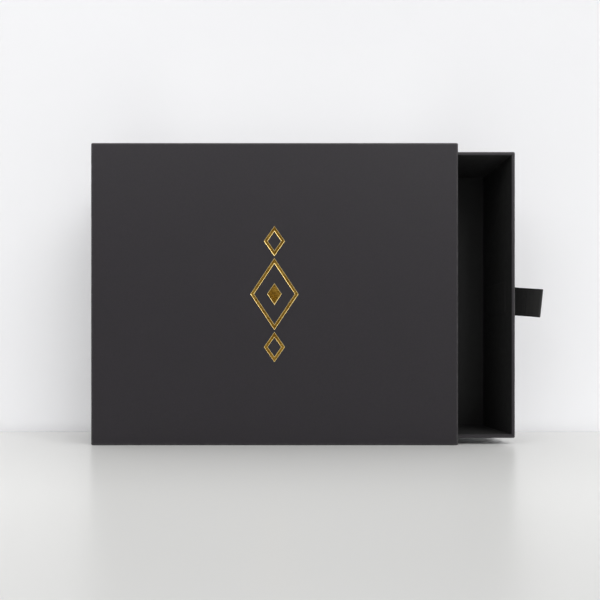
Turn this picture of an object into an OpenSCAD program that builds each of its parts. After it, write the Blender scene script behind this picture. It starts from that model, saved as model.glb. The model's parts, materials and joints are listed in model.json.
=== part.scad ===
// Rigid gift box with a sliding drawer. A wrapped greyboard sleeve, closed at one end, holds a wrapped
// greyboard tray with a ribbon pull. The box stands on the sleeve's lower side with its big front face
// towards -Y and its mouth towards +X, where the drawer slides out. The origin is the middle of the face
// that it stands on.

/* [Sleeve] */
// Length of the sleeve along the drawer's travel
sleeve_length = 184; // [120:1:320]
// Height of the sleeve as it stands on its side
sleeve_height = 151.4; // [90:0.2:260]
// Depth of the sleeve from its front face to its back face
sleeve_depth = 50; // [34:1:110]
// Thickness of the sleeve's greyboard
sleeve_board = 2.5; // [1.5:0.1:4]
// How far the outer wrap turns in behind the mouth
sleeve_turn_in = 18; // [8:1:40]

/* [Drawer] */
// Thickness of the tray's greyboard
tray_board = 1.5; // [1:0.1:3]
// Gap between the tray and the sleeve's lower side
gap_under = 0.15; // [0.1:0.05:0.6]
// Gap between the tray and the sleeve's upper side
gap_over = 0.35; // [0.2:0.05:2]
// Gap between the tray's rim and the sleeve's front side
gap_front = 0.3; // [0.2:0.05:1]
// Gap between the tray's floor and the sleeve's back side
gap_back = 0.2; // [0.1:0.05:1]
// Gap behind the tray when it is shut, its front flush with the mouth
gap_end = 0.95; // [0.3:0.05:3]
// How far the drawer stands open
drawer_open = 29.8; // [0:0.1:90]

/* [Paper] */
// Thickness of the outer wrapping paper
wrap = 0.2; // [0.14:0.01:0.3]
// Thickness of the lining paper
lining = 0.15; // [0.1:0.01:0.25]
// Thickness of the stay tape over the boards' edges
tape = 0.1; // [0.06:0.01:0.15]
// Width of each leg of the stay tape
tape_leg = 12; // [6:1:16]
// Outer radius of the wrap where it folds over an edge
fold_round = 0.8; // [0.6:0.1:1.4]
// Margin between the end sheet and the edges of the closed end
end_sheet_margin = 1.5; // [0.5:0.1:4]
// Width of the seam where one edge of the wrap lies against another
seam_width = 0.16; // [0.1:0.02:0.3]
// Depth of that seam in the wrap
seam_depth = 0.1; // [0.04:0.02:0.12]
// Height of the lap on the sleeve's back face, where the wrap's two ends meet
back_lap = 12; // [4:1:40]
// Distance from the tray's corners to the laps over the ears folded round them
ear_lap = 2.9; // [1.5:0.1:6]

/* [Ribbon pull] */
// Width of the ribbon
ribbon_width = 15; // [8:0.5:24]
// Thickness of one ply of the ribbon
ribbon_ply = 0.35; // [0.25:0.05:0.6]
// How far the loop stands out of the tray's front wall
ribbon_reach = 22.8; // [12:0.1:40]
// How far the two plies swell apart in the loop
ribbon_swell = 1.5; // [0.6:0.1:4]
// Angle at which the loop droops under its own weight
ribbon_droop = 4.5; // [0:0.5:15]
// Length of each tail glued behind the front wall
ribbon_tail = 13; // [6:0.5:15]
// Gap between the plies in the slit
ply_gap = 0.1; // [0.06:0.02:0.3]
// Clearance between the ribbon and the slit on each side
slit_clearance = 0.3; // [0.1:0.05:0.6]
// How far the slit lies below the middle of the front wall
slit_drop = 0.7; // [0:0.1:5]

/* [Foil ornament] */
// Height of the ornament
ornament_height = 68; // [56:1:84]
// Width of the ornament
ornament_width = 24; // [12:1:40]
// Height of the lozenge in the ornament's middle
middle_height = 36; // [16:1:44]
// Share of that lozenge's height and width that its filled core takes
core_share = 0.3; // [0.15:0.05:0.5]
// Width of the small lozenges above and below it
small_width = 10.5; // [6:0.5:24]
// Gap between the lozenges' tips
tip_gap = 1; // [0.5:0.1:3]
// Width of the ornament's lines
ornament_line = 1.5; // [1:0.1:2]
// Depth to which the foil is pressed into the wrap
foil_press = 0.1; // [0.04:0.01:0.12]
// Thickness of the foil
foil = 0.03; // [0.02:0.01:0.04]

/* [Hidden] */
$fn = 48;

charcoal = [0.20, 0.20, 0.21];
black = [0.09, 0.09, 0.09];
greyboard = [0.56, 0.53, 0.48];
kraft = [0.72, 0.58, 0.40];
gold = [0.80, 0.60, 0.22];

// Sleeve: how far each layer lies inside the outer face.
board_inner = wrap + sleeve_board;
cavity = board_inner + lining;
mouth = cavity + wrap;

// Sleeve: where each layer starts and ends along X.
mouth_x = sleeve_length / 2;
end_sheet_x = -sleeve_length / 2;
end_flap_x = end_sheet_x + wrap;
end_board_x = end_flap_x + wrap;
end_lining_x = end_board_x + sleeve_board;
cavity_x = end_lining_x + lining;
wrap_run = mouth_x - end_flap_x;
lining_run = mouth_x - wrap - end_lining_x;

// Tray: its outer size, and the places that its clearances give it in the sleeve.
tray_length = mouth_x - cavity_x - gap_end;
tray_height = sleeve_height - 2 * mouth - gap_under - gap_over;
tray_depth = sleeve_depth - 2 * mouth - gap_front - gap_back;
tray_front_x = mouth_x + drawer_open;
tray_mid_x = tray_front_x - tray_length / 2;
tray_mid_z = mouth + gap_under + tray_height / 2;
rim_y = -sleeve_depth / 2 + mouth + gap_front;
tray_back_y = rim_y + tray_depth;

// Tray: how far each layer lies inside the outer face.
tray_board_inner = wrap + tray_board;
tray_wall = tray_board_inner + wrap;
tray_turn_in = tray_depth - wrap - tray_board;
floor_board_y = tray_back_y - wrap - tray_board;

// Ribbon: where it passes the front wall, and how its loop is drawn.
ribbon_y = rim_y + tray_depth / 2;
ribbon_z = tray_mid_z - slit_drop;
tail_x = tray_front_x - tray_board_inner;
bend_reach = ribbon_width / 2 * tan(ribbon_droop);
slit_height = ribbon_width + 2 * slit_clearance;
slit_width = 2 * ribbon_ply + ply_gap + 2 * slit_clearance;
loop_steps = 48;
tip_turn = 30;

// ---------- drawing helpers ----------

// A profile drawn as (Y, Z), drawn out along X from x.
module along_x(x, length) {
    translate([x, 0, 0])
        rotate([90, 0, 90])
            linear_extrude(length)
                children();
}

// A profile drawn as (X, Z), drawn out along Y from y.
module along_y(y, length) {
    translate([0, y + length, 0])
        rotate([90, 0, 0])
            linear_extrude(length)
                children();
}

// A profile drawn as (X, Y), drawn out along Z about Z = 0.
module along_z(length) {
    linear_extrude(length, center = true)
        children();
}

// A rectangle about its middle, with its corners rounded while the radius lasts.
module sheet_outline(width, height, radius) {
    if (radius > 0) {
        square([width - 2 * radius, height], center = true);
        square([width, height - 2 * radius], center = true);
        for (side = [-1, 1], end = [-1, 1])
            translate([side * (width / 2 - radius), end * (height / 2 - radius)])
                circle(radius);
    } else {
        square([width, height], center = true);
    }
}

// A box about its middle, with every edge rounded as a fold is.
module folded_box(size, radius) {
    intersection() {
        along_x(-size.x / 2, size.x)
            sheet_outline(size.y, size.z, radius);
        along_y(-size.y / 2, size.y)
            sheet_outline(size.x, size.z, radius);
        along_z(size.z)
            sheet_outline(size.x, size.y, radius);
    }
}

// The sleeve's whole block without the end sheet, at a depth below its outer faces.
module sleeve_block(inset) {
    translate([end_flap_x + wrap_run / 2, 0, sleeve_height / 2])
        folded_box([
            wrap_run - 2 * inset,
            sleeve_depth - 2 * inset,
            sleeve_height - 2 * inset
        ], fold_round - inset);
}

// The tray's whole block, at a depth below its outer faces.
module tray_block(inset) {
    translate([tray_mid_x, rim_y + tray_depth / 2, tray_mid_z])
        folded_box([
            tray_length - 2 * inset,
            tray_depth - 2 * inset,
            tray_height - 2 * inset
        ], fold_round - inset);
}

// The sleeve's cross-section, at a depth below its outer face.
module sleeve_outline(inset) {
    translate([0, sleeve_height / 2])
        sheet_outline(sleeve_depth - 2 * inset, sleeve_height - 2 * inset, fold_round - inset);
}

// The layer of the sleeve between two depths below its outer face.
module sleeve_layer(from, to) {
    difference() {
        sleeve_outline(from);
        sleeve_outline(to);
    }
}

// The tray's plan, at a depth inside its outer walls.
module tray_outline(inset) {
    translate([tray_mid_x, tray_mid_z])
        sheet_outline(tray_length - 2 * inset, tray_height - 2 * inset, fold_round - inset);
}

// The layer of the tray's walls between two depths inside them.
module tray_layer(from, to) {
    difference() {
        tray_outline(from);
        tray_outline(to);
    }
}

// One square with legs as long as the tape's at each corner of a rectangle about its middle.
module corner_squares(width, height) {
    for (side = [-1, 1], end = [-1, 1])
        translate([side * width / 2, end * height / 2])
            square(2 * tape_leg, center = true);
}

// A panel of board with both ends mitred, as a V groove leaves it. Its outer face is the X axis, and it
// reaches on over that face, for the block that it is cut from to trim.
module mitred_panel(length, board) {
    polygon([
        [-length / 2 - wrap, wrap], [length / 2 + wrap, wrap],
        [length / 2 - board, -board], [-length / 2 + board, -board]
    ]);
}

// The seam along one edge of the wrap, from the origin along +X, cut from Z = 0 downwards.
module seam(length) {
    translate([-seam_width, -seam_width / 2, -seam_depth])
        cube([length + 2 * seam_width, seam_width, 2 * seam_depth]);
}

// The mitred seams at the corners of a rectangle about its middle, each reaching in from both sides.
module corner_seams(width, height, reach) {
    for (side = [-1, 1], end = [-1, 1])
        translate([side * width / 2, end * height / 2])
            rotate(atan2(-end, -side))
                seam(reach * sqrt(2));
}

// What is drawn about the middle of the sleeve's end, set on a face that looks along +X or -X.
module on_sleeve_end(x, way) {
    translate([x, 0, sleeve_height / 2])
        scale([way, 1, 1])
            rotate([90, 0, 90])
                children();
}

// ---------- sleeve boards and tapes ----------

// The beds of the stay tapes along the tube's four long edges, cut in from outside its boards.
module sleeve_tape_beds() {
    along_x(end_flap_x, wrap_run)
        intersection() {
            sleeve_layer(0, wrap + tape);
            translate([0, sleeve_height / 2])
                corner_squares(sleeve_depth - 2 * wrap, sleeve_height - 2 * wrap);
        }
}

// One board of the tube: across is the length of its outer face, turn the side that it is on, and out
// the distance of that face from the tube's middle.
module sleeve_tube_board(across, turn, out) {
    color(greyboard)
        difference() {
            intersection() {
                sleeve_block(wrap);
                along_x(end_flap_x, wrap_run)
                    translate([0, sleeve_height / 2])
                        rotate(turn)
                            translate([0, out])
                                mitred_panel(across, sleeve_board);
            }
            sleeve_tape_beds();
        }
}

module sleeve_front_board() {
    sleeve_tube_board(sleeve_height - 2 * wrap, 90, sleeve_depth / 2 - wrap);
}

module sleeve_back_board() {
    sleeve_tube_board(sleeve_height - 2 * wrap, -90, sleeve_depth / 2 - wrap);
}

module sleeve_upper_board() {
    sleeve_tube_board(sleeve_depth - 2 * wrap, 0, sleeve_height / 2 - wrap);
}

module sleeve_lower_board() {
    sleeve_tube_board(sleeve_depth - 2 * wrap, 180, sleeve_height / 2 - wrap);
}

// The end board is let in between the tube's four boards.
module sleeve_end_board() {
    color(greyboard)
        along_x(end_board_x, sleeve_board)
            sleeve_outline(board_inner);
}

module sleeve_corner_tapes() {
    color(kraft)
        intersection() {
            sleeve_block(wrap);
            sleeve_tape_beds();
        }
}

// ---------- sleeve papers ----------

// The seams of the wrap: the mitres at the mouth, those of the flaps at the closed end, and the back lap.
module sleeve_seams() {
    on_sleeve_end(mouth_x, 1)
        corner_seams(sleeve_depth, sleeve_height, mouth);
    on_sleeve_end(end_flap_x, -1)
        corner_seams(sleeve_depth, sleeve_height, end_sheet_margin + seam_width);
    translate([end_flap_x, sleeve_depth / 2, back_lap])
        rotate([-90, 0, 0])
            seam(wrap_run);
}

module sleeve_wrap() {
    color(charcoal)
        difference() {
            union() {
                difference() {
                    sleeve_block(0);
                    sleeve_block(wrap);
                }
                along_x(mouth_x - sleeve_turn_in, sleeve_turn_in - wrap)
                    sleeve_layer(cavity, mouth);
            }
            along_x(mouth_x - sleeve_turn_in, sleeve_turn_in + wrap)
                sleeve_outline(mouth);
            sleeve_seams();
            along_y(-sleeve_depth / 2, foil_press)
                ornament();
        }
}

module sleeve_end_sheet() {
    color(charcoal)
        along_x(end_sheet_x, wrap)
            translate([0, sleeve_height / 2])
                square([sleeve_depth - 2 * end_sheet_margin, sleeve_height - 2 * end_sheet_margin],
                    center = true);
}

module sleeve_lining() {
    color(black)
        along_x(end_lining_x, lining_run)
            sleeve_layer(board_inner, cavity);
}

module sleeve_end_lining() {
    color(black)
        along_x(end_lining_x, lining)
            sleeve_outline(cavity);
}

// ---------- foil ornament ----------

module lozenge(width, height) {
    polygon([[width / 2, 0], [0, height / 2], [-width / 2, 0], [0, -height / 2]]);
}

// A lozenge drawn as one line of even width.
module lozenge_line(width, height) {
    shrink = 1 - 2 * ornament_line * norm([width, height]) / (width * height);
    difference() {
        lozenge(width, height);
        lozenge(width * shrink, height * shrink);
    }
}

// A tall lozenge with a filled core, between two small ones, tip to tip.
module ornament() {
    small_height = (ornament_height - middle_height) / 2 - tip_gap;
    translate([0, sleeve_height / 2]) {
        lozenge_line(ornament_width, middle_height);
        lozenge(ornament_width * core_share, middle_height * core_share);
        for (end = [-1, 1])
            translate([0, end * (ornament_height - small_height) / 2])
                lozenge_line(small_width, small_height);
    }
}

module foil_ornament() {
    color(gold)
        along_y(-sleeve_depth / 2 + foil_press - foil, foil)
            ornament();
}

// ---------- tray boards and tapes ----------

// The beds of the stay tapes round the tray's four corners, cut in from outside its boards.
module tray_tape_beds() {
    along_y(rim_y, tray_depth)
        intersection() {
            tray_layer(0, wrap + tape);
            translate([tray_mid_x, tray_mid_z])
                corner_squares(tray_length - 2 * wrap, tray_height - 2 * wrap);
        }
}

// A wall board: the part of the tray's block over its own rectangle, less the tapes' beds.
module tray_wall_board(from, size) {
    color(greyboard)
        difference() {
            intersection() {
                tray_block(wrap);
                along_y(rim_y, tray_depth)
                    translate(from)
                        square(size);
            }
            tray_tape_beds();
        }
}

module tray_front_board() {
    difference() {
        tray_wall_board(
            [tray_front_x - tray_board_inner, tray_mid_z - tray_height / 2],
            [tray_board_inner, tray_height]
        );
        ribbon_slit();
    }
}

module tray_rear_board() {
    tray_wall_board(
        [tray_front_x - tray_length, tray_mid_z - tray_height / 2],
        [tray_board_inner, tray_height]
    );
}

module tray_upper_board() {
    tray_wall_board(
        [tray_front_x - tray_length + tray_board_inner, tray_mid_z + tray_height / 2 - tray_board_inner],
        [tray_length - 2 * tray_board_inner, tray_board_inner]
    );
}

module tray_lower_board() {
    tray_wall_board(
        [tray_front_x - tray_length + tray_board_inner, tray_mid_z - tray_height / 2],
        [tray_length - 2 * tray_board_inner, tray_board_inner]
    );
}

module tray_floor_board() {
    color(greyboard)
        along_y(floor_board_y, tray_board)
            tray_outline(tray_board_inner);
}

module tray_corner_tapes() {
    color(kraft)
        intersection() {
            tray_block(wrap);
            tray_tape_beds();
        }
}

// ---------- tray papers ----------

// The seams of the wrap: the mitres at the rim, and the laps over the ears on the front and rear walls.
module tray_seams() {
    translate([tray_mid_x, rim_y, tray_mid_z])
        rotate([90, 0, 0])
            corner_seams(tray_length, tray_height, tray_wall);
    for (side = [-1, 1], end = [-1, 1])
        translate([
            tray_mid_x + side * tray_length / 2,
            rim_y,
            tray_mid_z + end * (tray_height / 2 - ear_lap)
        ])
            scale([side, 1, 1])
                rotate([90, 0, 90])
                    seam(tray_depth);
}

// The slit through the front board and the wrap outside it.
module ribbon_slit() {
    translate([tail_x, ribbon_y - slit_width / 2, ribbon_z - slit_height / 2])
        cube([tray_board_inner + wrap, slit_width, slit_height]);
}

// The room that the ribbon's glued tails take between the front board and the turned-in wrap.
module tail_room(margin) {
    reach = 2 * (ribbon_tail + slit_clearance + margin);
    height = slit_height + 2 * margin;
    translate([tail_x - ribbon_ply - margin, ribbon_y - reach / 2, ribbon_z - height / 2])
        cube([ribbon_ply + margin, reach, height]);
}

module tray_wrap() {
    color(charcoal)
        difference() {
            union() {
                difference() {
                    union() {
                        difference() {
                            tray_block(0);
                            tray_block(wrap);
                        }
                        along_y(rim_y + wrap, tray_turn_in - wrap)
                            tray_layer(tray_board_inner, tray_wall);
                    }
                    along_y(rim_y - wrap, tray_turn_in + wrap)
                        tray_outline(tray_wall);
                }
                tail_room(wrap);
            }
            tail_room(0);
            ribbon_slit();
            tray_seams();
        }
}

module tray_floor_sheet() {
    color(black)
        along_y(floor_board_y - lining, lining)
            tray_outline(tray_wall);
}

// ---------- ribbon pull ----------

// The middle of the ply along the loop, from the slit (turn = 0) round the tip (180) and back (360): a drop
// that is pinched at the slit and widest near its tip, where the plies close within tip_turn degrees.
function loop_middle(turn) = [
    (ribbon_reach - ribbon_ply / 2) * (1 - cos(turn)) / 2,
    (turn < 180 ? 1 : -1) * (ply_gap + ribbon_ply) / 2 * min(1, abs(180 - turn) / tip_turn)
        + ribbon_swell * sin(turn) * (1 - cos(turn)) / 2
];

// The direction square to the loop at a turn, outwards.
function loop_outwards(turn) =
    let (
        ahead = loop_middle(min(360, turn + 1)) - loop_middle(max(0, turn - 1)),
        out = [-ahead.y, ahead.x]
    )
    turn == 0 ? [0, 1] : turn == 360 ? [0, -1] : out / norm(out);

// One face of the ply, at a distance outside its middle.
function loop_face(distance) = [
    for (step = [0:loop_steps])
        loop_middle(360 * step / loop_steps) + distance * loop_outwards(360 * step / loop_steps)
];

function reversed(points) = [for (i = [len(points) - 1:-1:0]) points[i]];

// The loop, seen along the ribbon's width.
module loop_profile() {
    polygon(concat(loop_face(ribbon_ply / 2), reversed(loop_face(-ribbon_ply / 2))));
}

// Both plies through the slit, and the tails that turn away from each other behind the board.
module tail_profile() {
    for (side = [0, 1])
        mirror([0, side]) {
            translate([-tray_board_inner - ribbon_ply, ply_gap / 2])
                square([tray_board_inner + ribbon_ply + bend_reach, ribbon_ply]);
            translate([-tray_board_inner - ribbon_ply, ply_gap / 2])
                square([ribbon_ply, ribbon_tail - ply_gap / 2]);
        }
}

module ribbon_pull() {
    color(black)
        translate([tray_front_x, ribbon_y, ribbon_z]) {
            rotate([0, ribbon_droop, 0])
                linear_extrude(ribbon_width, center = true)
                    loop_profile();
            linear_extrude(ribbon_width, center = true)
                tail_profile();
        }
}

sleeve_front_board();
sleeve_back_board();
sleeve_upper_board();
sleeve_lower_board();
sleeve_end_board();
sleeve_corner_tapes();
sleeve_wrap();
sleeve_end_sheet();
sleeve_lining();
sleeve_end_lining();
foil_ornament();
tray_floor_board();
tray_front_board();
tray_rear_board();
tray_upper_board();
tray_lower_board();
tray_corner_tapes();
tray_wrap();
tray_floor_sheet();
ribbon_pull();
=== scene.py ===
"""Looks of a rigid gift box with a sliding drawer: a sleeve and a tray of greyboard, wrapped in charcoal
paper, with a gold foil ornament on the sleeve's face and a black satin ribbon pull on the drawer."""

import json
import math

import bpy
from mathutils import Matrix, Vector

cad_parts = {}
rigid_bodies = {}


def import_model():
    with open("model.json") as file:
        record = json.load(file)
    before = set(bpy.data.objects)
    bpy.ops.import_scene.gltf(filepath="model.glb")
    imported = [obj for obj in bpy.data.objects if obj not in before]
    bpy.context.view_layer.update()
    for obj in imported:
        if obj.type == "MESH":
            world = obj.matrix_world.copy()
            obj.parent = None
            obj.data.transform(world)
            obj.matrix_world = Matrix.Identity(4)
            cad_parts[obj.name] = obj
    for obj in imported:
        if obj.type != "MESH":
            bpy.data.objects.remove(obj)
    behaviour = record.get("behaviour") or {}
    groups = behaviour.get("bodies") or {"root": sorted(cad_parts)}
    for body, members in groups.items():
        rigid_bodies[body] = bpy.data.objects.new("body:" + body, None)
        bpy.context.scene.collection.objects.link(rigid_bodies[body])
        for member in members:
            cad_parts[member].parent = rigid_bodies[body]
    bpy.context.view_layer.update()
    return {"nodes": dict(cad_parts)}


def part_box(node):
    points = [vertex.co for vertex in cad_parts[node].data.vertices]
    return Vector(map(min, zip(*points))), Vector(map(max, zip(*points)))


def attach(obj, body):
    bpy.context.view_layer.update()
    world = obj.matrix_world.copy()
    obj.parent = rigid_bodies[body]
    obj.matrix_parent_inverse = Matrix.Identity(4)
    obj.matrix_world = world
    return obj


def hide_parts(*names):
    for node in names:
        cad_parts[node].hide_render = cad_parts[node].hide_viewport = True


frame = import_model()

MM = 0.001
X, Y, Z = range(3)
FACE, EDGE = "FACE", "EDGE"
TOLERANCE = 0.02 * MM

# ---------- sizes of the papers ----------

# The lining's thickness, and how far the sleeve's wrap goes in behind its mouth
LINING_PAPER = 0.15 * MM
SLEEVE_TURN_IN = 18 * MM

# The rounding of the folds over the boards' edges, and of those inside the mouth and the rim
FOLD = 0.8 * MM
FOLD_STEPS = 5
INNER_FOLD = 0.35 * MM
INNER_FOLD_STEPS = 4

# The paper's slight waves: how high they are, how long, and how fine the mesh is that shows them
SLEEVE_UNEVENNESS = 0.07 * MM
TRAY_UNEVENNESS = 0.1 * MM
WAVE = 16 * MM
CELL = 4 * MM

# How far outside the face of the folded-in paper the mask of its painted shade starts, and is full
MASK_START = 0.25 * MM
MASK_FULL = 0.08 * MM

# The seams where one edge of the paper meets or covers another
SEAM_WIDTH = 0.16 * MM
SEAM_DEPTH = 0.1 * MM
EAR_LAP = 2.9 * MM
BACK_LAP = 12 * MM
END_MITRE = 2 * MM

# ---------- sizes, taken from the frame ----------

sleeve_low, sleeve_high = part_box("sleeve_wrap")
front_board_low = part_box("sleeve_front_board")[0]
lining_low, lining_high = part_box("sleeve_lining")
tray_low, tray_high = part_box("tray_wrap")
tray_floor_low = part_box("tray_floor_board")[0]
tray_front_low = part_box("tray_front_board")[0]
floor_sheet_low, floor_sheet_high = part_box("tray_floor_sheet")
foil_low, foil_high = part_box("foil_ornament")

paper = front_board_low.y - sleeve_low.y
mouth_wall = lining_low.y - sleeve_low.y + LINING_PAPER + paper
tray_wall = tray_high.x - tray_front_low.x + paper
tray_turn_in = tray_floor_low.y - tray_low.y

# ---------- sizes of the ribbon ----------

RIBBON_WIDTH = 15 * MM
RIBBON_PLY = 0.35 * MM
RIBBON_REACH = 22.8 * MM
RIBBON_TAIL = 13 * MM
RIBBON_DROOP = math.radians(4.5)
RIBBON_SLANT = math.radians(6.2)

# How far each ply bows out of the loop, how much higher the back ply and lower the front one lies, and how
# far from the tip they start to meet
RIBBON_SWELL = 3.6 * MM
RIBBON_SKEW = 0.28 * MM
RIBBON_TURN = 6 * MM

# The tight bend from a tail into the slit: how far ahead of the tail and how far off the slit's middle
TAIL_BEND = [(0, 1.2 * MM), (0.06 * MM, 0.7 * MM), (0.25 * MM, 0.36 * MM)]
TAIL_BEND_LENGTH = 0.6 * MM

# How finely the loop and the width are drawn, and the last part of the turn, in which the plies' gap closes
LOOP_STEPS = 64
RIBBON_CELLS = 14
PINCHED_TURN = math.pi / 6

# The slit that it passes through, and the paper raised over its tails
PLY_GAP = 0.1 * MM
SLIT_CLEARANCE = 0.3 * MM
SLIT_DROP = 0.7 * MM
TAIL_SLOPE = 0.7 * MM
TAIL_AIR = 0.02 * MM

slit_width = 2 * RIBBON_PLY + PLY_GAP + 2 * SLIT_CLEARANCE
slit_height = RIBBON_WIDTH + 2 * SLIT_CLEARANCE
ribbon_y = (tray_low.y + tray_high.y) / 2
ribbon_z = (tray_low.z + tray_high.z) / 2 - SLIT_DROP

# ---------- sizes of the foil ornament ----------

ORNAMENT_LINE = 1.5 * MM
MIDDLE_HEIGHT = 36 * MM
CORE_SHARE = 0.3
SMALL_WIDTH = 10.5 * MM
TIP_GAP = 1 * MM

# The foil's thickness, how deep its rim and its middle are pressed in, and its shoulders' widths and depths
FOIL = 0.03 * MM
FOIL_RIM = 0.02 * MM
FOIL_PRESS = 0.1 * MM
SHOULDERS = [(0.18 * MM, 0.07 * MM), (0.25 * MM, 0.01 * MM)]
BED_CUT_START = 0.3 * MM

foil_width = foil_high.x - foil_low.x
foil_height = foil_high.z - foil_low.z
foil_middle_z = (foil_low.z + foil_high.z) / 2
small_height = (foil_height - MIDDLE_HEIGHT) / 2 - TIP_GAP
small_offset = (foil_height - small_height) / 2

# How far each lozenge is above the ornament's middle, its width and height, and its line, 0 where it is solid
LOZENGES = [
    (0, foil_width, MIDDLE_HEIGHT, ORNAMENT_LINE),
    (0, CORE_SHARE * foil_width, CORE_SHARE * MIDDLE_HEIGHT, 0),
    (small_offset, SMALL_WIDTH, small_height, ORNAMENT_LINE),
    (-small_offset, SMALL_WIDTH, small_height, ORNAMENT_LINE),
]

# ---------- colours ----------

CHARCOAL = (0.0112, 0.0080, 0.0125, 1)
# Paler charcoal for the edges: wear, and on the sleeve's and the tray's folds also a painted highlight
CHARCOAL_WORN_AND_HIGHLIT = (0.075, 0.073, 0.075, 1)
BLACK = (0.0068, 0.0068, 0.0070, 1)
BLACK_WORN = (0.03, 0.03, 0.031, 1)
# Painted shade: the colour that the tray's paper is darkened to behind its rim
INNER_PAINTED_SHADE = (0.006, 0.006, 0.006, 1)
SPECK_GREY = (0.5, 0.5, 0.5, 1)
# Pale gold for the foil's shoulders, a painted highlight
PAINTED_HIGHLIGHT_GOLD = (0.97, 0.78, 0.34, 1)
FLECK_GREY = (0.08, 0.08, 0.08, 1)
SELVEDGE_BLACK = (0.0005, 0.0005, 0.0005, 1)

# Pairs that a texture or a distance mixes
# Deep gold where the foil is pressed in, a painted dark reflection, mottled by a texture
PRESSED_GOLD_PAINTED_DARK = (0.40, 0.20, 0.02, 1), (0.62, 0.36, 0.06, 1)
GREYBOARD = (0.22, 0.20, 0.17, 1), (0.33, 0.30, 0.26, 1)
KRAFT = (0.36, 0.22, 0.10, 1), (0.50, 0.33, 0.16, 1)
# Dark satin near the tray's wall as painted shade, and paler satin that paints a highlight round the ribbon's
# tip
SATIN_NEAR_WALL = (0.0008, 0.0008, 0.0008, 1), (0.002, 0.002, 0.0018, 1)
SATIN_PAINTED_LIT_TIP = (0.006, 0.006, 0.0058, 1), (0.013, 0.0128, 0.0122, 1)
# The table's colour near the front and far from it, a painted shade that darkens it towards the front
TABLE_PAINTED_SHADE_NEAR_AND_FAR = (0.622, 0.622, 0.613, 1), (0.745, 0.745, 0.732, 1)
# The wall's colour at its foot and its top, a painted shade that darkens it upwards
WALL_PAINTED_LIGHT_FOOT_AND_TOP = (0.903, 0.903, 0.925, 1), (0.80, 0.80, 0.82, 1)

# ---------- amounts in the finishes ----------

PAPER_ROUGHNESS = 0.56
ROUGHNESS_SWING = 0.03
FOLDED_IN_ROUGHER = 0.25

# How much of the paler edge colour the sleeve's and the tray's edges show, wear with a painted highlight of
# the folds, and those of the papers inside them
OUTER_WEAR_AND_HIGHLIGHT = 0.85
INNER_WEAR = 0.2

# The share of the dust's cells that hold no speck, and how much of its own colour a speck shows
BARE_CELLS = 0.93
SPECK_STRENGTH = 0.6

# The share of the ribbon's reach, from its tip, that a painted highlight makes paler, and where its selvedge
# starts and is full, in widths from its middle
TIP_LIGHT_SHARE = 0.85
SELVEDGE_START = 0.44
SELVEDGE_FULL = 0.465


# ---------- modelling helpers ----------

def deselect_all():
    for piece in bpy.context.view_layer.objects:
        piece.select_set(False)


def take(piece):
    """Makes a piece the only one that is selected, and the active one."""
    deselect_all()
    piece.select_set(True)
    bpy.context.view_layer.objects.active = piece


def settle(piece):
    """Puts a piece's place, turn and size into its mesh."""
    take(piece)
    bpy.ops.object.transform_apply(location=True, rotation=True, scale=True)


def add_block(name, low, high):
    low, high = Vector(low), Vector(high)
    deselect_all()
    bpy.ops.mesh.primitive_cube_add(size=1, location=(low + high) / 2, scale=high - low)
    block = bpy.context.active_object
    block.name = name
    settle(block)
    return block


def start_editing(piece, kind):
    """Edit mode with nothing selected."""
    take(piece)
    bpy.ops.object.mode_set(mode="EDIT")
    bpy.ops.mesh.select_mode(type=kind)
    bpy.ops.mesh.select_all(action="DESELECT")


def pick_faces(piece, test):
    """Selects the faces whose centre and normal pass a test, and stays in edit mode."""
    start_editing(piece, FACE)
    bpy.ops.object.mode_set(mode="OBJECT")
    for face in piece.data.polygons:
        face.select = test(face.center, face.normal)
    bpy.ops.object.mode_set(mode="EDIT")


def pick_all_faces(piece):
    pick_faces(piece, lambda centre, normal: True)


def pick_edges(piece, test):
    """Selects the edges whose two ends pass a test, and stays in edit mode."""
    start_editing(piece, EDGE)
    bpy.ops.object.mode_set(mode="OBJECT")
    points = piece.data.vertices
    for edge in piece.data.edges:
        first, last = (points[i].co for i in edge.vertices)
        edge.select = test(first, last)
    bpy.ops.object.mode_set(mode="EDIT")


def stop_editing():
    bpy.ops.object.mode_set(mode="OBJECT")


def add_modifier(piece, name, kind, **settings):
    """Adds a modifier with these settings and applies it."""
    take(piece)
    modifier = piece.modifiers.new(name, kind)
    for setting, value in settings.items():
        setattr(modifier, setting, value)
    bpy.ops.object.modifier_apply(modifier=name)


def shade(piece, angle=35):
    """Smooth over the folds and flat on the faces."""
    take(piece)
    bpy.ops.object.shade_smooth_by_angle(angle=math.radians(angle))
    add_modifier(piece, "even shading", "WEIGHTED_NORMAL", mode="FACE_AREA", weight=50, keep_sharp=True)


def join(pieces, name):
    deselect_all()
    for piece in pieces:
        piece.select_set(True)
    bpy.context.view_layer.objects.active = pieces[0]
    bpy.ops.object.join()
    pieces[0].name = name
    return pieces[0]


def cut(piece, cutter):
    """Cuts closed shapes out of a piece and throws them away."""
    add_modifier(piece, "cut", "BOOLEAN", operation="DIFFERENCE", solver="EXACT", object=cutter)
    bpy.data.objects.remove(cutter)


def slice_at(piece, axis, places):
    """Cuts a piece's faces across at these places along an axis, so that they can bend there."""
    point, normal = [0.0, 0.0, 0.0], [0.0, 0.0, 0.0]
    normal[axis] = 1.0
    take(piece)
    bpy.ops.object.mode_set(mode="EDIT")
    for place in places:
        point[axis] = place
        bpy.ops.mesh.select_all(action="SELECT")
        bpy.ops.mesh.bisect(plane_co=point, plane_no=normal)
    stop_editing()


def slice_up(piece, axis, first, last, step):
    """Cuts a piece's faces across at even places between two ends."""
    count = max(1, round((last - first) / step))
    slice_at(piece, axis, [first + (last - first) * index / count for index in range(1, count)])


def near(a, b, within=TOLERANCE):
    return abs(a - b) < within


def other_axes(axis):
    return [other for other in (X, Y, Z) if other != axis]


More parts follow.
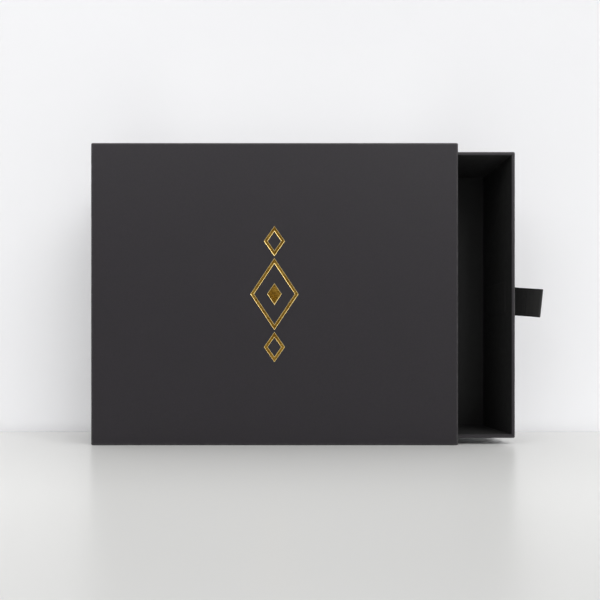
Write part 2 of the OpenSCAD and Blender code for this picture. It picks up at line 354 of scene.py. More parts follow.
def finish_piece(piece, node, body, material):
    """Gives a modelled piece its material and body, and hides the node that it stands in for."""
    piece.data.materials.clear()
    piece.data.materials.append(material)
    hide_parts(node)
    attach(piece, body)


# ---------- node helpers ----------

def add_node(tree, kind, **values):
    """Adds a node. A value whose name is a socket's sets that socket, and any other sets the node itself."""
    node = tree.nodes.new(kind)
    for name, value in values.items():
        socket = name.replace("_", " ")
        if socket in node.inputs:
            node.inputs[socket].default_value = value
        else:
            setattr(node, name, value)
    return node


def feed(tree, socket, value):
    """Gives a socket a plain value, or links another node's output to it."""
    if isinstance(value, bpy.types.NodeSocket):
        tree.links.new(value, socket)
    else:
        socket.default_value = value


def math_node(tree, operation, *values):
    """A math node whose inputs are numbers or other nodes' outputs, and its output."""
    node = add_node(tree, "ShaderNodeMath", operation=operation)
    for socket, value in zip(node.inputs, values):
        feed(tree, socket, value)
    return node.outputs[0]


def vector_node(tree, operation, *vectors):
    """A vector math node whose inputs are vectors or other nodes' outputs, and its output."""
    node = add_node(tree, "ShaderNodeVectorMath", operation=operation)
    for socket, vector in zip(node.inputs, vectors):
        feed(tree, socket, vector)
    return node.outputs[0]


def range_node(tree, value, low, high, to_low=0.0, to_high=1.0):
    """Maps a value from one range to another, smoothly and within its ends."""
    node = add_node(tree, "ShaderNodeMapRange", interpolation_type="SMOOTHSTEP")
    inputs = {"Value": value, "From Min": low, "From Max": high, "To Min": to_low, "To Max": to_high}
    for name, number in inputs.items():
        feed(tree, node.inputs[name], number)
    return node.outputs["Result"]


def spread_noise(tree, noise, to_low=0.0, to_high=1.0):
    """Maps the range in which a noise texture's values mostly lie."""
    return range_node(tree, noise, 0.3, 0.7, to_low, to_high)


def mix_colour(tree, factor, first, second):
    """Mixes two colours, each a tuple or another node's output."""
    node = add_node(tree, "ShaderNodeMix", data_type="RGBA")
    feed(tree, node.inputs["Factor"], factor)
    feed(tree, node.inputs[6], first)
    feed(tree, node.inputs[7], second)
    return node.outputs[2]


def split_vector(tree, vector):
    """A vector's X, Y and Z."""
    split = add_node(tree, "ShaderNodeSeparateXYZ")
    feed(tree, split.inputs[0], vector)
    return split.outputs


def object_place(tree):
    return add_node(tree, "ShaderNodeTexCoord").outputs["Object"]


def distance_from(tree, value, middle):
    return math_node(tree, "ABSOLUTE", math_node(tree, "SUBTRACT", value, middle))


def bump_node(tree, height, strength, distance, under=None):
    """Raises a surface by a height, over the normal that another bump gave, and gives its normal."""
    bump = add_node(tree, "ShaderNodeBump", Strength=strength, Distance=distance)
    feed(tree, bump.inputs["Height"], height)
    if under is not None:
        feed(tree, bump.inputs["Normal"], under)
    return bump.outputs["Normal"]


def new_group(name, inputs, outputs):
    """An empty node group with these sockets, and its input and output nodes."""
    group = bpy.data.node_groups.new(name, "ShaderNodeTree")
    for direction, sockets in (("INPUT", inputs), ("OUTPUT", outputs)):
        for label, kind, default in sockets:
            socket = group.interface.new_socket(label, in_out=direction, socket_type=kind)
            if default is not None:
                socket.default_value = default
    return group, group.nodes.new("NodeGroupInput"), group.nodes.new("NodeGroupOutput")


def use_group(tree, group, place, **values):
    """Places a group in a material with these values on its sockets, and gives its outputs."""
    node = tree.nodes.new("ShaderNodeGroup")
    node.node_tree = group
    feed(tree, node.inputs["Vector"], place)
    for name, value in values.items():
        node.inputs[name.replace("_", " ")].default_value = value
    return node.outputs


def new_material(name, **values):
    """A node material, with these values on its shader's own sockets."""
    material = bpy.data.materials.new(name)
    material.use_nodes = True
    tree = material.node_tree
    shader = tree.nodes["Principled BSDF"]
    for socket, value in values.items():
        shader.inputs[socket.replace("_", " ")].default_value = value
    return material, tree, shader


# ---------- effects that several finishes share ----------

def make_paper_fibre():
    """Uncoated paper's fine fibres over a slower cloudiness."""
    group, given, made = new_group(
        "paper fibre",
        [("Vector", "NodeSocketVector", None), ("Fibres per metre", "NodeSocketFloat", 1500.0),
         ("Clouds per metre", "NodeSocketFloat", 260.0)],
        [("Fibre", "NodeSocketFloat", None), ("Cloud", "NodeSocketFloat", None)],
    )
    fine = add_node(group, "ShaderNodeTexNoise", Detail=4.0, Roughness=0.65)
    slow = add_node(group, "ShaderNodeTexNoise", Detail=3.0, Roughness=0.55)
    for label, texture, scale in (("Fibre", fine, "Fibres per metre"), ("Cloud", slow, "Clouds per metre")):
        feed(group, texture.inputs["Vector"], given.outputs["Vector"])
        feed(group, texture.inputs["Scale"], given.outputs[scale])
        feed(group, made.inputs[label], texture.outputs["Fac"])
    return group


def make_box_edge_wear():
    """A mask along the edges of a box of a given middle and half size, broken up by noise."""
    group, given, made = new_group(
        "box edge wear",
        [("Vector", "NodeSocketVector", None), ("Middle", "NodeSocketVector", None),
         ("Half size", "NodeSocketVector", None), ("Width", "NodeSocketFloat", 0.0014),
         ("Breaks per metre", "NodeSocketFloat", 400.0)],
        [("Mask", "NodeSocketFloat", None)],
    )
    offset = vector_node(group, "SUBTRACT", given.outputs["Vector"], given.outputs["Middle"])
    off_middle = vector_node(group, "ABSOLUTE", offset)
    inside = vector_node(group, "SUBTRACT", given.outputs["Half size"], off_middle)
    x, y, z = split_vector(group, inside)
    # The greater of the distances to two faces is that to their edge, and the least of these counts.
    x_to_y, y_to_z, z_to_x = (math_node(group, "MAXIMUM", a, b) for a, b in ((x, y), (y, z), (z, x)))
    to_edge = math_node(group, "MINIMUM", math_node(group, "MINIMUM", x_to_y, y_to_z), z_to_x)
    near_edge = range_node(group, to_edge, given.outputs["Width"], 0.0)
    breaks = add_node(group, "ShaderNodeTexNoise", Detail=3.0, Roughness=0.6)
    feed(group, breaks.inputs["Vector"], given.outputs["Vector"])
    feed(group, breaks.inputs["Scale"], given.outputs["Breaks per metre"])
    broken = range_node(group, breaks.outputs["Fac"], 0.35, 0.7, 0.35, 1.0)
    feed(group, made.inputs["Mask"], math_node(group, "MULTIPLY", near_edge, broken))
    return group


def make_dust():
    """Sparse specks."""
    group, given, made = new_group(
        "dust",
        [("Vector", "NodeSocketVector", None), ("Specks per metre", "NodeSocketFloat", 160.0),
         ("Speck size", "NodeSocketFloat", 0.035)],
        [("Mask", "NodeSocketFloat", None)],
    )
    cells = add_node(group, "ShaderNodeTexVoronoi", feature="F1")
    feed(group, cells.inputs["Vector"], given.outputs["Vector"])
    feed(group, cells.inputs["Scale"], given.outputs["Specks per metre"])
    speck = range_node(group, cells.outputs["Distance"], given.outputs["Speck size"], 0.0)
    lot = add_node(group, "ShaderNodeSeparateColor")
    feed(group, lot.inputs[0], cells.outputs["Color"])
    chosen = math_node(group, "GREATER_THAN", lot.outputs[0], BARE_CELLS)
    feed(group, made.inputs["Mask"], math_node(group, "MULTIPLY", speck, chosen))
    return group


PAPER_FIBRE = make_paper_fibre()
BOX_EDGE_WEAR = make_box_edge_wear()
DUST = make_dust()


# ---------- finishes ----------

def inside_tray(tree, place):
    """A mask over the paper that is folded in behind the tray's rim, where shade is painted."""
    parts = split_vector(tree, place)
    # This part leaves out the paper under the tray's floor.
    mask = range_node(tree, parts["Y"], tray_high.y - tray_turn_in / 20, tray_high.y - tray_turn_in / 10)
    for axis, low, high in (("X", tray_low.x, tray_high.x), ("Z", tray_low.z, tray_high.z)):
        off_middle = distance_from(tree, parts[axis], (low + high) / 2)
        inner = (high - low) / 2 - tray_wall
        within = range_node(tree, off_middle, inner + MASK_START, inner + MASK_FULL)
        mask = math_node(tree, "MULTIPLY", mask, within)
    return mask


def paper_finish(name, colour, edge_colour, low, high, wear_and_highlight=OUTER_WEAR_AND_HIGHLIGHT, inner_shade_colour=None):
    """Matte dyed paper over board, paler along the edges of the box from low to high: scuffed, and on the
    outer wraps also a painted highlight of the folds. The tray's has a duller face where it is folded in,
    darkened there as painted shade."""
    material, tree, shader = new_material(name, Roughness=PAPER_ROUGHNESS, IOR=1.5, Specular_IOR_Level=0.57)
    place = object_place(tree)
    fibre = use_group(tree, PAPER_FIBRE, place)
    edges = use_group(tree, BOX_EDGE_WEAR, place, Middle=(low + high) / 2, Half_size=(high - low) / 2)
    specks = use_group(tree, DUST, place)
    fibre_shade = spread_noise(tree, fibre["Fibre"], 0.8, 1.2)
    cloud_shade = spread_noise(tree, fibre["Cloud"], 0.93, 1.07)
    dyed = add_node(tree, "ShaderNodeVectorMath", operation="SCALE")
    dyed.inputs[0].default_value = colour[:3]
    feed(tree, dyed.inputs["Scale"], math_node(tree, "MULTIPLY", fibre_shade, cloud_shade))
    # The edges are lightened: wear, and on the outer wraps a painted highlight of the folds
    lightening = math_node(tree, "MULTIPLY", edges["Mask"], wear_and_highlight)
    lightened = mix_colour(tree, lightening, dyed.outputs[0], edge_colour)
    dusty = math_node(tree, "MULTIPLY", specks["Mask"], SPECK_STRENGTH)
    surface = mix_colour(tree, dusty, lightened, SPECK_GREY)
    smooth, rough = PAPER_ROUGHNESS - ROUGHNESS_SWING, PAPER_ROUGHNESS + ROUGHNESS_SWING
    roughness = spread_noise(tree, fibre["Cloud"], smooth, rough)
    # Painted shade over the paper folded in behind the tray's rim
    if inner_shade_colour:
        inside = inside_tray(tree, place)
        surface = mix_colour(tree, inside, surface, inner_shade_colour)
        roughness = math_node(tree, "MULTIPLY_ADD", inside, FOLDED_IN_ROUGHER, roughness)
    feed(tree, shader.inputs["Base Color"], surface)
    feed(tree, shader.inputs["Roughness"], roughness)
    grain = bump_node(tree, fibre["Fibre"], strength=0.5, distance=0.015 * MM)
    feed(tree, shader.inputs["Normal"], grain)
    return material


def foil_finish():
    """Hot-stamped gold foil: deep gold where it is pressed in, a painted dark reflection, and pale on its
    shoulders, a painted highlight, with the paper's grain showing through."""
    material, tree, shader = new_material("gold foil", Metallic=1.0, Roughness=0.24)
    place = object_place(tree)
    fibre = use_group(tree, PAPER_FIBRE, place)
    pressed = mix_colour(tree, range_node(tree, fibre["Cloud"], 0.35, 0.65), *PRESSED_GOLD_PAINTED_DARK)
    # Painted highlight on the shoulders and a painted dark reflection where the foil is pressed in, by depth
    y = split_vector(tree, place)["Y"]
    shoulder = range_node(tree, y, sleeve_low.y + FOIL_PRESS, sleeve_low.y + 2 * FOIL_RIM)
    feed(tree, shader.inputs["Base Color"], mix_colour(tree, shoulder, pressed, PAINTED_HIGHLIGHT_GOLD))
    feed(tree, shader.inputs["Roughness"], spread_noise(tree, fibre["Fibre"], 0.18, 0.32))
    grain = bump_node(tree, fibre["Fibre"], strength=0.5, distance=0.012 * MM)
    feed(tree, shader.inputs["Normal"], grain)
    return material


def board_finish():
    """Grey chipboard with paper flecks."""
    material, tree, shader = new_material("greyboard", Roughness=0.85)
    place = object_place(tree)
    fibre = use_group(tree, PAPER_FIBRE, place, Fibres_per_metre=1400.0, Clouds_per_metre=300.0)
    flecks = use_group(tree, DUST, place, Specks_per_metre=900.0, Speck_size=0.25)
    grey = mix_colour(tree, spread_noise(tree, fibre["Fibre"]), *GREYBOARD)
    feed(tree, shader.inputs["Base Color"], mix_colour(tree, flecks["Mask"], grey, FLECK_GREY))
    grain = bump_node(tree, fibre["Fibre"], strength=0.6, distance=0.03 * MM)
    feed(tree, shader.inputs["Normal"], grain)
    return material


def tape_finish():
    """Brown kraft stay tape with its long fibres."""
    material, tree, shader = new_material("stay tape", Roughness=0.7)
    place = object_place(tree)
    fibre = use_group(tree, PAPER_FIBRE, place, Fibres_per_metre=1800.0, Clouds_per_metre=500.0)
    brown = mix_colour(tree, spread_noise(tree, fibre["Fibre"]), *KRAFT)
    feed(tree, shader.inputs["Base Color"], brown)
    return material


def ribbon_finish(tip):
    """Black satin ribbon, paler round its tip, which is this far along it, as a painted highlight, and darker
    towards the tray's wall as painted shade. The weave follows the ribbon's own length (U) and width (V),
    both in widths of the ribbon."""
    material, tree, shader = new_material("black satin", Specular_IOR_Level=0.3)
    place = add_node(tree, "ShaderNodeUVMap", uv_map="ribbon").outputs["UV"]
    parts = split_vector(tree, place)
    threads = add_node(tree, "ShaderNodeTexWave", wave_type="BANDS", bands_direction="Y", Scale=14.0)
    feed(tree, threads.inputs["Vector"], place)
    fibre = use_group(tree, PAPER_FIBRE, place, Fibres_per_metre=220.0, Clouds_per_metre=9.0)
    thread_shade = spread_noise(tree, fibre["Fibre"], 0.7, 1)
    tone = math_node(tree, "MULTIPLY", threads.outputs["Fac"], thread_shade)
    near_wall_satin = mix_colour(tree, tone, *SATIN_NEAR_WALL)
    lightened = mix_colour(tree, tone, *SATIN_PAINTED_LIT_TIP)
    from_tip = distance_from(tree, parts["X"], tip / RIBBON_WIDTH)
    # Painted highlight: paler round the tip, darker towards the tray's wall as painted shade
    tip_light = range_node(tree, from_tip, TIP_LIGHT_SHARE * RIBBON_REACH / RIBBON_WIDTH, 0.0)
    lightening = mix_colour(tree, tip_light, near_wall_satin, lightened)
    from_middle = distance_from(tree, parts["Y"], 0.5)
    selvedge = range_node(tree, from_middle, SELVEDGE_START, SELVEDGE_FULL)
    feed(tree, shader.inputs["Base Color"], mix_colour(tree, selvedge, lightening, SELVEDGE_BLACK))
    feed(tree, shader.inputs["Roughness"], range_node(tree, tip_light, 0.0, 1.0, 0.2, 0.36))
    stretch = add_node(tree, "ShaderNodeMapping", Scale=(9.0, 0.35, 1.0))
    feed(tree, stretch.inputs["Vector"], place)
    creases = add_node(tree, "ShaderNodeTexNoise", Scale=1.0, Detail=2.0)
    feed(tree, creases.inputs["Vector"], stretch.outputs["Vector"])
    crumple = bump_node(tree, creases.outputs["Fac"], strength=0.5, distance=0.35 * MM)
    woven = bump_node(tree, threads.outputs["Fac"], strength=0.12, distance=0.04 * MM, under=crumple)
    feed(tree, shader.inputs["Normal"], woven)
    return material


# ---------- the wraps ----------

def add_groove(start, end, outwards):
    """A bar that cuts a seam from start to end into a face that looks outwards."""
    start, end, outwards = Vector(start), Vector(end), Vector(outwards)
    along = (end - start).normalized()
    turn = Matrix((along, outwards.cross(along), outwards)).transposed()
    length = (end - start).length
    deselect_all()
    bpy.ops.mesh.primitive_cube_add(
        size=1, location=(start + end) / 2, rotation=turn.to_euler(),
        scale=(length, SEAM_WIDTH, 2 * SEAM_DEPTH),
    )
    bar = bpy.context.active_object
    settle(bar)
    return bar


def mitre_grooves(low, high, axis, side, reach):
    """The mitred seams at the four corners of a folded-in side, from just outside it inwards."""
    across, along = other_axes(axis)
    outwards = [0.0, 0.0, 0.0]
    outwards[axis] = side
    start, end = [0.0, 0.0, 0.0], [0.0, 0.0, 0.0]
    start[axis] = end[axis] = (high if side > 0 else low)[axis]
    grooves = []
    for first in (-1, 1):
        for second in (-1, 1):
            for other, sign in ((across, first), (along, second)):
                corner = (high if sign > 0 else low)[other]
                start[other] = corner + sign * SEAM_WIDTH
                end[other] = corner - sign * (reach + SEAM_WIDTH)
            grooves.append(add_groove(start, end, outwards))
    return grooves


def open_block(name, low, high, axis, side, wall, depth):
    """A box whose faces go on over one side's edges, wall wide, and in behind them to a depth."""
    block = add_block(name, low, high)
    end = (high if side > 0 else low)[axis]
    pick_faces(block, lambda centre, normal: near(centre[axis], end) and normal[axis] * side > 0.9)
    bpy.ops.mesh.inset(thickness=wall, use_even_offset=True)
    inwards = [0.0, 0.0, 0.0]
    inwards[axis] = -side * depth
    bpy.ops.mesh.extrude_region_move(TRANSFORM_OT_translate={"value": inwards})
    bpy.ops.mesh.delete(type="FACE")
    stop_editing()
    return block


def round_folds(wrap, width, steps, test):
    """Rounds the edges that run along one axis and whose two ends pass a test."""
    def folded(first, last):
        straight = sum(not near(first[axis], last[axis]) for axis in (X, Y, Z)) == 1
        return straight and test(first, last)

    pick_edges(wrap, folded)
    bpy.ops.mesh.bevel(offset=width, segments=steps, profile=0.5, affect="EDGES", clamp_overlap=True)
    stop_editing()


def fold_wrap(name, low, high, axis, side, wall, depth, unevenness, shape=None):
    """A box wrapped in paper that is folded in round its open side: wall is how wide the fold over the
    board's edge is, depth how far the paper goes in behind it, and shape what is done to the sheet before it
    gets its thickness."""
    wrap = open_block(name, low, high, axis, side, wall, depth)
    others = other_axes(axis)
    paper_end = (high if side > 0 else low)[axis] - side * depth

    def outer(point):
        return any(near(point[other], low[other]) or near(point[other], high[other]) for other in others)

    def inner(point):
        return all(
            low[other] + wall - TOLERANCE < point[other] < high[other] - wall + TOLERANCE for other in others
        )

    def inner_fold(first, last):
        at_paper_end = near(first[axis], paper_end) and near(last[axis], paper_end)
        return inner(first) and inner(last) and not at_paper_end

    round_folds(wrap, FOLD, FOLD_STEPS, lambda first, last: outer(first) and outer(last))
    round_folds(wrap, INNER_FOLD, INNER_FOLD_STEPS, inner_fold)
    for along in (X, Y, Z):
        slice_up(wrap, along, low[along], high[along], CELL)
    waves = bpy.data.textures.new(name + " unevenness", "CLOUDS")
    waves.noise_scale = WAVE
    add_modifier(wrap, "unevenness", "DISPLACE", texture=waves, strength=unevenness, mid_level=0.5)
    if shape:
        shape(wrap)
    add_modifier(wrap, "paper", "SOLIDIFY", thickness=paper, offset=-1, use_even_offset=True)
    return wrap


def lozenge(name, middle_z, width, height, line):
    """A lozenge on the sleeve's face, drawn in one line of even width, or solid where the line is 0."""
    deselect_all()
    bpy.ops.mesh.primitive_circle_add(
        vertices=4, radius=1, fill_type="NGON",
        location=(0, sleeve_low.y, middle_z), rotation=(math.pi / 2, 0, 0),
    )
    piece = bpy.context.active_object
    piece.name = name
    piece.scale = (width / 2, height / 2, 1)
    settle(piece)
    if line:
        pick_all_faces(piece)
        bpy.ops.mesh.inset(thickness=line, use_even_offset=True)
        bpy.ops.mesh.delete(type="FACE")
        stop_editing()
    return piece


def ornament_cutters():
    """Closed lozenges that cut the foil's bed, from just outside the face to the foil's underside."""
    cutters = []
    cut_length = BED_CUT_START + FOIL_PRESS + FOIL
    for offset, width, height, line in LOZENGES:
        cutter = lozenge("ornament bed", foil_middle_z + offset, width, height, line)
        pick_all_faces(cutter)
        bpy.ops.transform.translate(value=(0, -BED_CUT_START, 0))
        bpy.ops.mesh.extrude_region_move(TRANSFORM_OT_translate={"value": (0, cut_length, 0)})
        bpy.ops.mesh.select_all(action="SELECT")
        bpy.ops.mesh.normals_make_consistent(inside=False)
        stop_editing()
        cutters.append(cutter)
    return cutters


def make_sleeve_wrap():
    low, high = sleeve_low, sleeve_high
    wrap = fold_wrap("sleeve_wrap_paper", low, high, X, 1, mouth_wall, SLEEVE_TURN_IN, SLEEVE_UNEVENNESS)
    grooves = mitre_grooves(low, high, X, 1, mouth_wall)
    grooves += mitre_grooves(low, high, X, -1, END_MITRE)
    lap_z = low.z + BACK_LAP
    grooves.append(add_groove((low.x - MM, high.y, lap_z), (high.x + MM, high.y, lap_z), (0, 1, 0)))
    cut(wrap, join(grooves + ornament_cutters(), "sleeve cutter"))
    shade(wrap)
    return wrap


def raise_tails(wrap):
    """The swelling that the ribbon's glued tails make in the paper inside the tray's front wall."""
    inner_x = tray_high.x - tray_wall
    rise = RIBBON_PLY + TAIL_AIR
    half_y, half_z = RIBBON_TAIL + SLIT_CLEARANCE, slit_height / 2
    for axis, middle, half in ((Y, ribbon_y, half_y), (Z, ribbon_z, half_z)):
        reaches = [half + part * TAIL_SLOPE for part in (0, 0.5, 1)]
        slice_at(wrap, axis, [middle + side * reach for side in (-1, 1) for reach in reaches])
    for point in wrap.data.vertices:
        if near(point.co.x, inner_x, TRAY_UNEVENNESS):
            beyond = max(abs(point.co.y - ribbon_y) - half_y, abs(point.co.z - ribbon_z) - half_z, 0)
            part = max(0, 1 - beyond / TAIL_SLOPE)
            point.co.x -= rise * part * part * (3 - 2 * part)


def make_tray_wrap():
    low, high = tray_low, tray_high
    wrap = fold_wrap(
        "tray_wrap_paper", low, high, Y, -1, tray_wall, tray_turn_in, TRAY_UNEVENNESS, shape=raise_tails
    )
    grooves = mitre_grooves(low, high, Y, -1, tray_wall)
    for x, outwards in ((low.x, -1), (high.x, 1)):
        for z in (low.z + EAR_LAP, high.z - EAR_LAP):
            grooves.append(add_groove((x, low.y - MM, z), (x, high.y - FOLD, z), (outwards, 0, 0)))
    slit = add_block(
        "slit", (high.x - MM, ribbon_y - slit_width / 2, ribbon_z - slit_height / 2),
        (high.x + MM, ribbon_y + slit_width / 2, ribbon_z + slit_height / 2),
    )
    cut(wrap, join(grooves + [slit], "tray cutter"))
    shade(wrap)
    return wrap


def make_foil_ornament():
    pieces = []
    for offset, width, height, line in LOZENGES:
        piece = lozenge("foil", foil_middle_z + offset, width, height, line)
        pick_all_faces(piece)
        bpy.ops.transform.translate(value=(0, FOIL_RIM, 0))
        for shoulder, depth in SHOULDERS:
            bpy.ops.mesh.inset(thickness=shoulder, depth=-depth, use_boundary=True, use_even_offset=True)
        stop_editing()
        pieces.append(piece)
    foil = join(pieces, "foil_ornament_stamped")
    add_modifier(foil, "foil", "SOLIDIFY", thickness=FOIL, offset=-1, use_even_offset=True)
    shade(foil, angle=2)
    return foil


# ---------- the ribbon ----------

def ribbon_route():
    """The middle of the ply in the X-Y plane, from one tail's end round the loop to the other's, and the
    distance run at each point."""
    wall = tray_high.x - tray_front_low.x
    start = -wall - RIBBON_PLY / 2
    half_gap = (PLY_GAP + RIBBON_PLY) / 2
    reach = RIBBON_REACH - RIBBON_PLY / 2
    tail = [(start, RIBBON_TAIL * share) for share in (1, 0.66, 0.33)]
    bend = [(start + ahead, y) for ahead, y in TAIL_BEND]
    first = tail + bend + [(start + TAIL_BEND_LENGTH, half_gap), (-wall / 2, half_gap)]
    loop = []
    for step in range(LOOP_STEPS + 1):
        turn = 2 * math.pi * step / LOOP_STEPS
        part = (1 - math.cos(turn)) / 2
        pinch = min(1, abs(math.pi - turn) / PINCHED_TURN)
        side = 1 if turn < math.pi else -1
        loop.append((reach * part, side * half_gap * pinch + RIBBON_SWELL * math.sin(turn) * part))
    route = first + loop + [(x, -y) for x, y in reversed(first)]
    runs = [0.0]
    for (x0, y0), (x1, y1) in zip(route, route[1:]):
        runs.append(runs[-1] + math.hypot(x1 - x0, y1 - y0))
    return route, runs


route, runs = ribbon_route()
ribbon_length = runs[-1]


def hang(x, y, run, height):
    """Where a point of the ribbon lies that is at x and y of the route, this far along it, and at a height
    above the ribbon's middle."""
    out = max(0.0, x)
    lean = out / RIBBON_REACH * height * math.sin(RIBBON_SLANT)
    ahead = out * math.cos(RIBBON_DROOP) if x > 0 else x
    behind = max(-1.0, min(1.0, (ribbon_length / 2 - run) / RIBBON_TURN))
    drop = out * math.sin(RIBBON_DROOP) - RIBBON_SKEW * behind
    return tray_high.x + ahead + lean, ribbon_y + y, ribbon_z + height - drop


def make_ribbon_pull():
    """A flat grid, hung along the route column by column, with the weave's own coordinates."""
    deselect_all()
    bpy.ops.mesh.primitive_grid_add(x_subdivisions=len(route) - 1, y_subdivisions=RIBBON_CELLS, size=1)
    ribbon = bpy.context.active_object
    ribbon.name = "ribbon_pull_satin"
    settle(ribbon)
    mesh = ribbon.data
    columns = sorted({round(point.co.x, 5) for point in mesh.vertices})
    weave = []
    for point in mesh.vertices:
        column = columns.index(round(point.co.x, 5))
        weave.append((runs[column] / RIBBON_WIDTH, point.co.y + 0.5))
        point.co = hang(*route[column], runs[column], point.co.y * RIBBON_WIDTH)
    layer = mesh.uv_layers.new(name="ribbon")
    for corner in mesh.loops:
        layer.data[corner.index].uv = weave[corner.vertex_index]
    add_modifier(ribbon, "ply", "SOLIDIFY", thickness=RIBBON_PLY, offset=0, use_even_offset=True)
    take(ribbon)
    bpy.ops.object.shade_smooth_by_angle(angle=math.radians(50))
    return ribbon


# ---------- stage ----------

# The photograph's frame is 600 pixels square. The focal length and the middle of the lens are in its pixels.
PICTURE_PIXELS = 600
FOCAL_PIXELS = 640
PRINCIPAL_X, PRINCIPAL_Y = 262, 358
CAMERA_X = -6.2 * MM
CAMERA_HEIGHT = 43.7 * MM
CAMERA_DISTANCE = 320 * MM

STAGE_SIZE = 20
TABLE_NEAR_Y = -250 * MM
TABLE_FAR_Y = -120 * MM
WALL_Y = 35.6 * MM
WALL_FADE = 250 * MM
WALL_FOOT = 8 * MM
FOOT_BEHIND_BOX = 4 * WALL_FOOT
# The wall's glow: even, less at its foot as painted shade, and more over the box as painted light
GLOW = 0.168
GLOW_AT_SHADED_FOOT = 0.11
PAINTED_LIGHT_OVER_BOX = 0.085

# The glow over the box, painted light that takes the box's shade off the wall: the heights, in the box's own,
# where it is full and where it ends, and the share of the box's half width that has it in full
OVER_BOX_FULL = 1.1
OVER_BOX_END = 1.7
OVER_BOX_CORE = 0.5

LAMP_AIM = Vector((0, 0, 80 * MM))
ROOM_FROM_FRONT = 0.2
ROOM_FROM_BEHIND = 0.535
ROOM_FROM_RIGHT = 0.25
ROOM_FROM_ABOVE = 0.44
ROOM_BLEND = 0.2

box_middle_x = (sleeve_low.x + tray_high.x) / 2
box_half_x = (tray_high.x - sleeve_low.x) / 2


def make_camera():
    """A camera square to the box's face, whose lens is shifted as the photograph's crop is."""
    camera = bpy.data.cameras.new("camera")
    camera.sensor_width = 36
    camera.lens = camera.sensor_width * FOCAL_PIXELS / PICTURE_PIXELS
    camera.shift_x = 0.5 - PRINCIPAL_X / PICTURE_PIXELS
    camera.shift_y = PRINCIPAL_Y / PICTURE_PIXELS - 0.5
    camera.clip_start = 10 * MM
    holder = bpy.data.objects.new("camera", camera)
    bpy.context.scene.collection.objects.link(holder)
    holder.location = (CAMERA_X, sleeve_low.y - CAMERA_DISTANCE, CAMERA_HEIGHT)
    holder.rotation_euler = (math.pi / 2, 0, 0)
    bpy.context.scene.camera = holder


def table_finish():
    """A pale table top with a soft gloss, with painted shade that makes it darker towards the front and a
    little paler towards the wall.
    """
    material, tree, shader = new_material("table top", Roughness=0.28, IOR=1.5, Specular_IOR_Level=0.26)
    y = split_vector(tree, object_place(tree))["Y"]
    # Painted shade: darker towards the front, paler towards the wall
    away = range_node(tree, y, TABLE_NEAR_Y, TABLE_FAR_Y)
    feed(tree, shader.inputs["Base Color"], mix_colour(tree, away, *TABLE_PAINTED_SHADE_NEAR_AND_FAR))
    return material


def wall_glow(tree, off_middle, height):
    """How much the wall glows: evenly, but less at its foot as painted shade, not at all there behind the box
    as its painted shadow, and more just over the box as painted light that takes the box's shade off the
    wall."""
    # Painted shadow of the box at the wall's foot, and painted shade along the rest of the foot
    foot_glow_with_painted_shadow = range_node(tree, off_middle, box_half_x, box_half_x + WALL_FOOT, 0.0, GLOW_AT_SHADED_FOOT)
    foot_glow = range_node(tree, height, 0.0, WALL_FOOT, foot_glow_with_painted_shadow, GLOW)
    end, full = OVER_BOX_END * sleeve_high.z, OVER_BOX_FULL * sleeve_high.z
    over = range_node(tree, height, end, full, 0.0, PAINTED_LIGHT_OVER_BOX)
    behind = range_node(tree, off_middle, box_half_x, OVER_BOX_CORE * box_half_x)
    return math_node(tree, "MULTIPLY_ADD", over, behind, foot_glow)


def wall_finish():
    """A pale wall, palest at its foot and darker towards its top as painted shade, that shows from its front
    only and glows a little to the eye and in reflections. Above its foot it lets the room's light through to
    the back of the box."""
    material, tree, shader = new_material(
        "wall", Roughness=1.0, Specular_IOR_Level=0.0, Emission_Color=(1, 1, 1, 1)
    )
    place = split_vector(tree, object_place(tree))
    height = place["Z"]
    # Painted shade: the wall's colour darkens from its foot up towards its top
    fade = add_node(tree, "ShaderNodeMapRange", From_Max=WALL_FADE)
    feed(tree, fade.inputs["Value"], height)
    feed(tree, shader.inputs["Base Color"], mix_colour(tree, fade.outputs["Result"], *WALL_PAINTED_LIGHT_FOOT_AND_TOP))
    path = add_node(tree, "ShaderNodeLightPath").outputs
    reflected = math_node(tree, "MAXIMUM", path["Is Glossy Ray"], path["Is Transmission Ray"])
    seen = math_node(tree, "MAXIMUM", path["Is Camera Ray"], reflected)
    off_middle = distance_from(tree, place["X"], box_middle_x)
    glow = math_node(tree, "MULTIPLY", wall_glow(tree, off_middle, height), seen)
    feed(tree, shader.inputs["Emission Strength"], glow)
    foot_top = range_node(tree, off_middle, box_half_x, box_half_x + WALL_FOOT, FOOT_BEHIND_BOX, WALL_FOOT)
    solid = math_node(tree, "MAXIMUM", seen, math_node(tree, "LESS_THAN", height, foot_top))
    backfacing = add_node(tree, "ShaderNodeNewGeometry").outputs["Backfacing"]
    shown = math_node(tree, "MULTIPLY", solid, math_node(tree, "SUBTRACT", 1.0, backfacing))
    clear = add_node(tree, "ShaderNodeBsdfTransparent")
    choice = add_node(tree, "ShaderNodeMixShader")
    for socket, output in zip(choice.inputs, (shown, clear.outputs[0], shader.outputs[0])):
        feed(tree, socket, output)
    feed(tree, tree.nodes["Material Output"].inputs["Surface"], choice.outputs[0])
    return material


def make_stage():
    deselect_all()
    bpy.ops.mesh.primitive_plane_add(size=STAGE_SIZE)
    table = bpy.context.active_object
    table.name = "table"
    table.data.materials.append(table_finish())
    bpy.ops.mesh.primitive_plane_add(
        size=STAGE_SIZE, location=(0, WALL_Y, STAGE_SIZE / 2), rotation=(math.pi / 2, 0, 0)
    )
    wall = bpy.context.active_object
    wall.name = "wall"
    settle(wall)
    wall.data.materials.append(wall_finish())


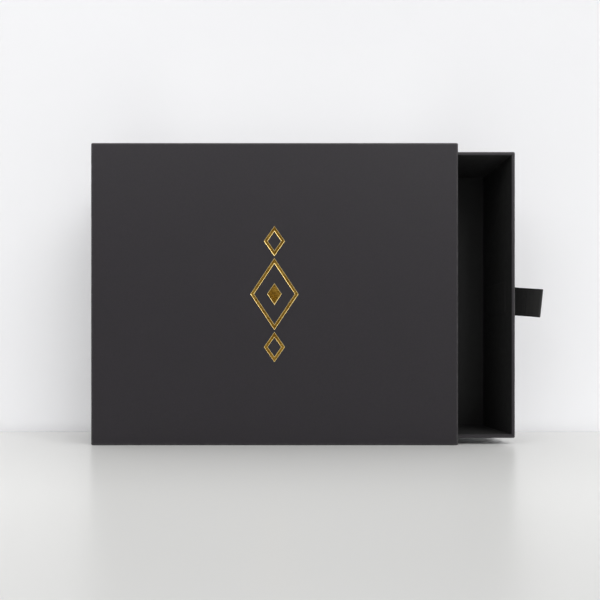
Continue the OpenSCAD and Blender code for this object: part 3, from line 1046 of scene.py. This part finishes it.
def add_lamp(name, turn, rise, distance, size, power):
    """A square soft lamp aimed at the box, turned to the right of its front and raised by these degrees."""
    turn, rise = math.radians(turn), math.radians(rise)
    ahead = Vector((math.sin(turn) * math.cos(rise), -math.cos(turn) * math.cos(rise), math.sin(rise)))
    lamp = bpy.data.lights.new(name, "AREA")
    lamp.size = size
    lamp.energy = power
    holder = bpy.data.objects.new(name, lamp)
    bpy.context.scene.collection.objects.link(holder)
    holder.location = LAMP_AIM + distance * ahead
    holder.rotation_euler = ahead.to_track_quat("Z", "Y").to_euler()


def make_lamps():
    """A soft lamp to the right, one overhead and a smaller one to the left."""
    add_lamp("right", turn=35, rise=43, distance=1.3, size=0.8, power=6.3)
    add_lamp("overhead", turn=0, rise=85, distance=0.6, size=0.35, power=0.49)
    add_lamp("left", turn=-35, rise=38, distance=0.6, size=0.35, power=0.62)


def make_room_light():
    """The room's soft light, stronger from behind than from the front, and from the right and above."""
    world = bpy.data.worlds.new("room")
    world.use_nodes = True
    bpy.context.scene.world = world
    tree = world.node_tree
    direction = split_vector(tree, add_node(tree, "ShaderNodeTexCoord").outputs["Generated"])
    strength = range_node(
        tree, direction["Y"], -ROOM_BLEND, ROOM_BLEND, ROOM_FROM_FRONT, ROOM_FROM_BEHIND
    )
    for axis, share in (("X", ROOM_FROM_RIGHT), ("Z", ROOM_FROM_ABOVE)):
        towards = math_node(tree, "MAXIMUM", direction[axis], 0.0)
        strength = math_node(tree, "MULTIPLY_ADD", towards, share, strength)
    background = tree.nodes["Background"]
    background.inputs["Color"].default_value = (1, 1, 1, 1)
    feed(tree, background.inputs["Strength"], strength)


# ---------- the build ----------

sleeve_paper = paper_finish("charcoal wrap on the sleeve", CHARCOAL, CHARCOAL_WORN_AND_HIGHLIT, sleeve_low, sleeve_high)
tray_paper = paper_finish(
    "charcoal wrap on the tray", CHARCOAL, CHARCOAL_WORN_AND_HIGHLIT, tray_low, tray_high, inner_shade_colour=INNER_PAINTED_SHADE
)
sleeve_lining = paper_finish(
    "black lining in the sleeve", BLACK, BLACK_WORN, lining_low, lining_high, wear_and_highlight=INNER_WEAR
)
floor_paper = paper_finish(
    "black paper on the tray's floor", BLACK, BLACK_WORN, floor_sheet_low, floor_sheet_high, wear_and_highlight=INNER_WEAR
)
gold = foil_finish()
greyboard = board_finish()
tape = tape_finish()
satin = ribbon_finish(ribbon_length / 2)

node_finishes = {
    "sleeve_end_sheet": sleeve_paper,
    "sleeve_lining": sleeve_lining,
    "sleeve_end_lining": sleeve_lining,
    "tray_floor_sheet": floor_paper,
    "foil_ornament": gold,
    "sleeve_corner_tapes": tape,
    "tray_corner_tapes": tape,
    "ribbon_pull": satin,
}
for name, node in frame["nodes"].items():
    finish = node_finishes.get(name, greyboard if name.endswith("board") else sleeve_paper)
    node.data.materials.clear()
    node.data.materials.append(finish)

make_camera()

finish_piece(make_sleeve_wrap(), "sleeve_wrap", "sleeve", sleeve_paper)
finish_piece(make_tray_wrap(), "tray_wrap", "drawer", tray_paper)
finish_piece(make_foil_ornament(), "foil_ornament", "sleeve", gold)
ribbon = make_ribbon_pull()
finish_piece(ribbon, "ribbon_pull", "drawer", satin)

make_stage()
make_lamps()
make_room_light()

bpy.context.scene.view_settings.view_transform = "Standard"
